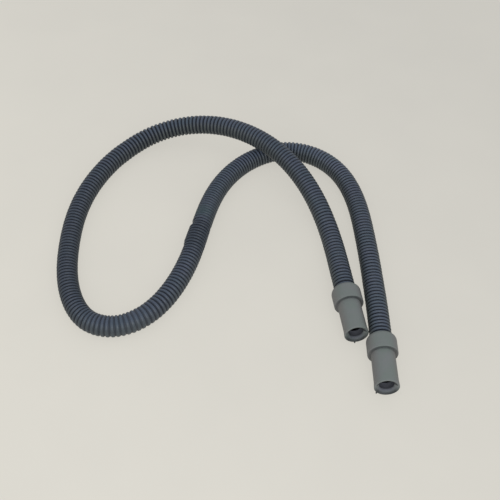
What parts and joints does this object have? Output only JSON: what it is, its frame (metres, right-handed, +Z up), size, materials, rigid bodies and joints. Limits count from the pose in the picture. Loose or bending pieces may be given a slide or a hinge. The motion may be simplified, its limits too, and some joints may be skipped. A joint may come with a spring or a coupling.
{
  "type": "appliance water hose",
  "caption": "Flexible corrugated water hose lying in an open loop that crosses itself, joined from two lengths, with a stepped push-on cuff at each end.",
  "frame": {"origin": "on the surface that the hose lies on, under the middle of the box around the two end cuffs", "axes": "+Z up; the cuffs' mouths look towards -Y, the loop lies towards +Y and -X"},
  "size_m": [0.3769, 0.4163, 0.049],
  "materials": {
    "hose": "dark slate blue-grey corrugated plastic, satin",
    "cuff": "mid grey moulded rubber, matte"
  },
  "bodies": {
    "root": {"long_hose": "hose", "short_hose": "hose", "left_cuff": "cuff", "right_cuff": "cuff"}
  },
  "joints": []
}
